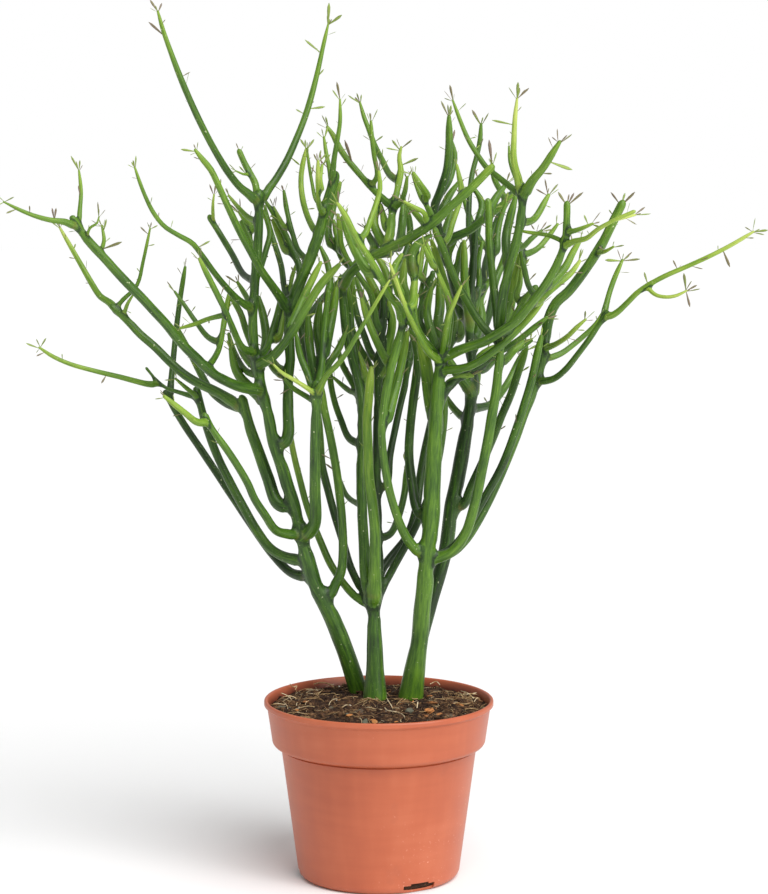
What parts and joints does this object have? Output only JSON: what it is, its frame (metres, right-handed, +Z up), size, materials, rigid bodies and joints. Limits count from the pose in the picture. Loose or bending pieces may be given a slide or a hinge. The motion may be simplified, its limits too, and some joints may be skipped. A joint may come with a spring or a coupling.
{
  "type": "potted euphorbia",
  "caption": "Potted pencil-stemmed euphorbia: slim forked green stems with tiny leaves, standing in soil in a tapered plastic nursery pot with a deep collar.",
  "frame": {"origin": "centre of the pot's flat base, on the surface that it stands on", "axes": "+Z up along the pot's axis, -Y towards the viewer of the picture, +X to the viewer's right"},
  "size_m": [0.5497, 0.2715, 0.6405],
  "materials": {
    "pot_plastic": "satin moulded terracotta-coloured plastic, lightly scuffed",
    "soil": "loose dark potting soil with pale fibres and white grains",
    "green_stem": "waxy green skin with fine long streaks, paler at the young tips"
  },
  "bodies": {
    "root": {"pot": "pot_plastic", "soil": "soil", "stem_left": "green_stem", "stem_centre": "green_stem", "stem_right": "green_stem", "stem_rear": "green_stem"}
  },
  "joints": []
}
